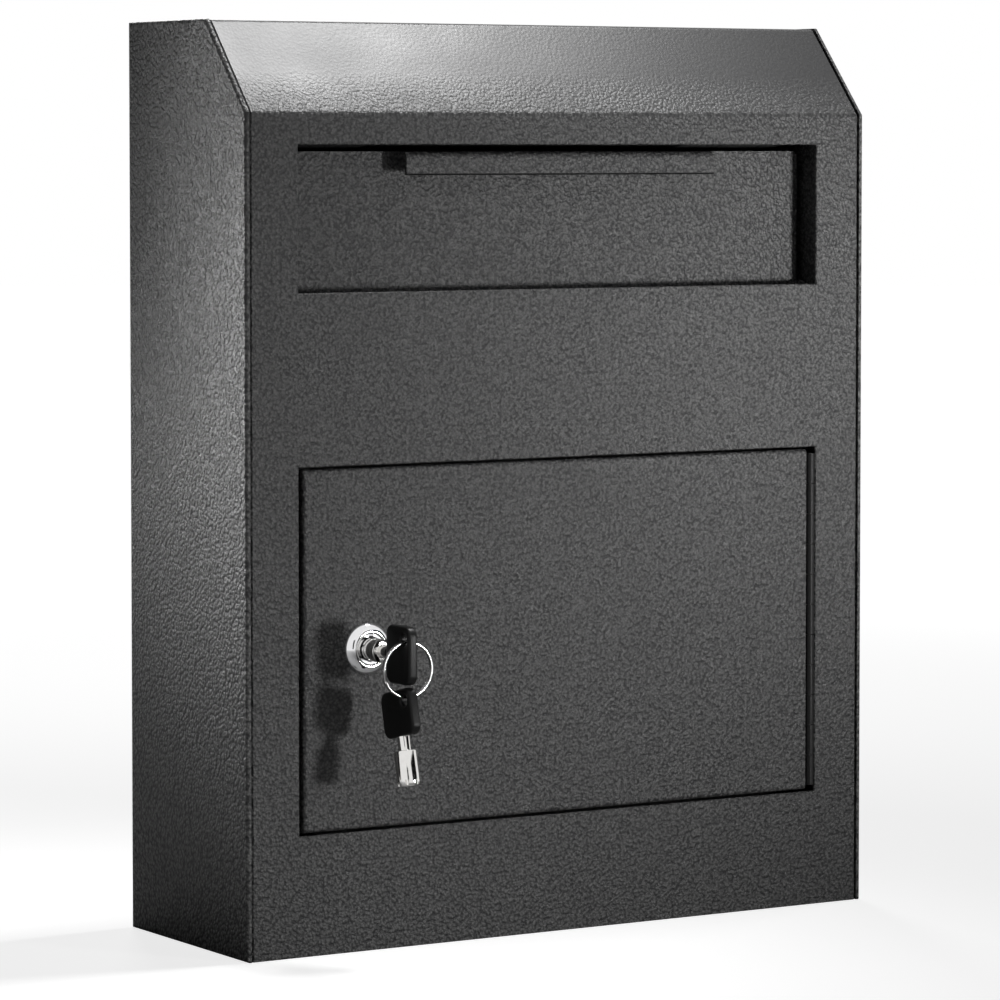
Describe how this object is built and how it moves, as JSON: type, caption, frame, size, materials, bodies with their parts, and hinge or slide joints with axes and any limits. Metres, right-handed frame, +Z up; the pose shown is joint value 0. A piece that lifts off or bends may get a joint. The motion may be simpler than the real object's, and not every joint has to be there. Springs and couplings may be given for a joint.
{
  "type": "key drop box",
  "caption": "Wall-mounted steel key drop box with a tilt-out drop hopper above and a lockable, piano-hinged door below, with keys on a ring in its cam lock.",
  "frame": {"origin": "middle of the cabinet's underside", "axes": "+X to the right seen from the front, +Y from the front to the wall face, +Z up"},
  "size_m": [0.305, 0.1418, 0.381],
  "materials": {
    "cabinet_paint": "textured powder coat, satin",
    "hopper_paint": "textured powder coat, satin",
    "door_paint": "textured powder coat, satin",
    "hinge_paint": "thin satin paint",
    "zinc": "zinc plated",
    "chrome": "polished",
    "ring_steel": "bright nickel",
    "key_nickel": "bright nickel",
    "key_plastic": "fine texture",
    "nylon": "natural"
  },
  "bodies": {
    "cabinet": {"side_panel_left": "cabinet_paint", "side_panel_right": "cabinet_paint", "back_panel": "cabinet_paint", "bottom_panel": "cabinet_paint", "front_shell": "cabinet_paint", "cheek_left": "hopper_paint", "cheek_right": "hopper_paint", "fishing_shield": "hopper_paint", "hopper_rod": "zinc", "rod_bush_left": "nylon", "rod_bush_right": "nylon", "rod_clip_left": "zinc", "rod_clip_right": "zinc", "strike_rail": "cabinet_paint", "door_stop_top": "cabinet_paint", "door_stop_bottom": "cabinet_paint", "hinge_leaf_frame": "hinge_paint", "hinge_pin": "zinc"},
    "hopper": {"hopper_pan": "hopper_paint", "hopper_wing_left": "hopper_paint", "hopper_wing_right": "hopper_paint"},
    "door": {"door_panel": "door_paint", "hinge_leaf_door": "hinge_paint", "lock_housing": "chrome", "lock_nut": "zinc"},
    "lock": {"lock_plug": "chrome", "lock_cam": "zinc", "cam_nut": "zinc"},
    "key": {"key_bow": "key_plastic", "key_barrel": "key_nickel"},
    "ring": {"key_ring": "ring_steel"},
    "spare_key": {"spare_bow": "key_plastic", "spare_barrel": "key_nickel"}
  },
  "joints": [
    {"name": "door_hinge", "type": "hinge", "parent": "cabinet", "child": "door", "pos_m": [0.1256, -0.05, 0.1245], "axis": [0, 0, 1], "range_deg": [0, 120]},
    {"name": "hopper_tilt", "type": "hinge", "parent": "cabinet", "child": "hopper", "pos_m": [0, -0.041, 0.265], "axis": [1, 0, 0], "range_deg": [0, 40]},
    {"name": "lock_turn", "type": "hinge", "parent": "door", "child": "lock", "pos_m": [-0.0965, -0.0506, 0.1245], "axis": [0, -1, 0], "range_deg": [0, 90]},
    {"name": "key_withdraw", "type": "slide", "parent": "lock", "child": "key", "axis": [0, -1, 0], "range_m": [0, 0.02]},
    {"name": "ring_swing", "type": "hinge", "parent": "key", "child": "ring", "pos_m": [-0.0965, -0.0834, 0.13], "axis": [1, 0, 0], "range_deg": [-60, 6]},
    {"name": "spare_key_swing", "type": "hinge", "parent": "ring", "child": "spare_key", "pos_m": [-0.0965, -0.0834, 0.1078], "axis": [1, 0, 0], "range_deg": [-20, 6]}
  ]
}
